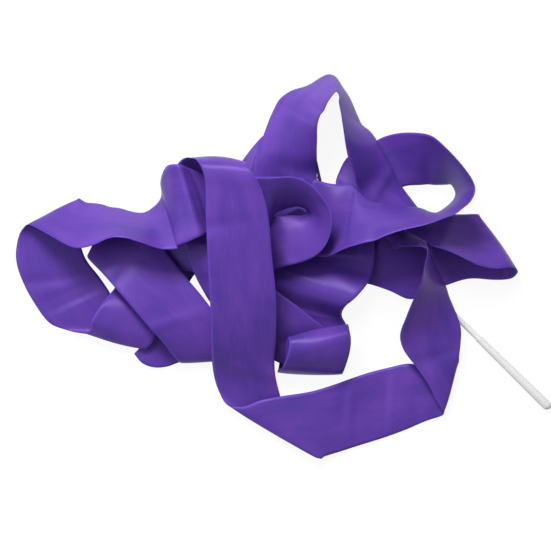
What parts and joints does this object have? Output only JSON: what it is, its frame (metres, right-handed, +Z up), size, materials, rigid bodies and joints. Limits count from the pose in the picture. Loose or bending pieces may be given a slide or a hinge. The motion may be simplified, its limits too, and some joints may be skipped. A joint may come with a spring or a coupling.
{
  "type": "rhythmic ribbon wand",
  "caption": "Slim tapered white stick with a swivel link and snap hook, holding one long satin ribbon that lies dropped in loose overlapping folds.",
  "frame": {"origin": "centre of the bounding box at floor level", "axes": "+Z up from the floor, +X towards the stick's butt side along the heap's longest extent, +Y towards the raised loop at the back"},
  "size_m": [0.3849, 0.2757, 0.0573],
  "materials": {
    "satin_ribbon": "satin",
    "stitched_tab": "satin",
    "plated_eyelet": "polished",
    "plated_hook": "polished",
    "steel_swivel": "satin",
    "aluminium_ferrule": "satin",
    "white_stick": "gloss",
    "white_grip": "satin",
    "white_cap": "matte"
  },
  "bodies": {
    "ribbon_and_hook": {"ribbon_centre": "satin_ribbon", "ribbon_climb": "satin_ribbon", "ribbon_descent": "satin_ribbon", "ribbon_descent_left": "satin_ribbon", "ribbon_elbow": "satin_ribbon", "ribbon_end": "satin_ribbon", "ribbon_floor_left": "satin_ribbon", "ribbon_front": "satin_ribbon", "ribbon_front_fold": "satin_ribbon", "ribbon_left_face": "satin_ribbon", "ribbon_left_face_low": "satin_ribbon", "ribbon_left_flap": "satin_ribbon", "ribbon_left_rim": "satin_ribbon", "ribbon_loop_floor": "satin_ribbon", "ribbon_loop_rise": "satin_ribbon", "ribbon_loop_top": "satin_ribbon", "ribbon_peak": "satin_ribbon", "ribbon_peak_left": "satin_ribbon", "ribbon_peak_right": "satin_ribbon", "ribbon_pillow": "satin_ribbon", "ribbon_pillow_end": "satin_ribbon", "ribbon_ridge": "satin_ribbon", "ribbon_right_turn": "satin_ribbon", "ribbon_right_wing": "satin_ribbon", "ribbon_rim_far": "satin_ribbon", "ribbon_rim_near": "satin_ribbon", "ribbon_saddle": "satin_ribbon", "ribbon_sash_high": "satin_ribbon", "ribbon_sash_low": "satin_ribbon", "ribbon_shelf": "satin_ribbon", "ribbon_strut": "satin_ribbon", "ribbon_tail": "satin_ribbon", "ribbon_top_band": "satin_ribbon", "ribbon_top_band_low": "satin_ribbon", "ribbon_top_roll": "satin_ribbon", "ribbon_under_band": "satin_ribbon", "ribbon_under_centre": "satin_ribbon", "ribbon_under_roll": "satin_ribbon", "ribbon_under_saddle": "satin_ribbon", "ribbon_under_shelf": "satin_ribbon", "ribbon_under_top": "satin_ribbon", "ribbon_wing_high": "satin_ribbon", "ribbon_wing_low": "satin_ribbon", "ribbon_wing_root": "satin_ribbon", "end_tab": "stitched_tab", "eyelet": "plated_eyelet", "eyelet_washer": "plated_eyelet", "snap_hook": "plated_hook", "gate_rivet": "plated_hook"},
    "gate": {"snap_gate": "plated_hook"},
    "swivel_link": {"swivel_eye": "steel_swivel", "stick_eye": "steel_swivel"},
    "stick": {"stick_ferrule": "aluminium_ferrule", "stick_shaft": "white_stick", "grip_sleeve": "white_grip", "butt_cap": "white_cap"}
  },
  "joints": [
    {"name": "gate_hinge", "type": "hinge", "parent": "ribbon_and_hook", "child": "gate", "pos_m": [0.03029, 0.0559, 0.0095], "axis": [-0.6997, -0.7145, 0], "range_deg": [0, 22], "stiffness_Nm_per_rad": 0.002},
    {"name": "hook_swivel", "type": "hinge", "parent": "ribbon_and_hook", "child": "swivel_link", "pos_m": [0.03452, 0.05176, 0.0033], "axis": [0.7145, -0.6997, 0], "continuous": true},
    {"name": "stick_swivel", "type": "hinge", "parent": "swivel_link", "child": "stick", "pos_m": [0.04127, 0.04515, 0.0033], "axis": [0.7145, -0.6997, 0], "continuous": true}
  ]
}
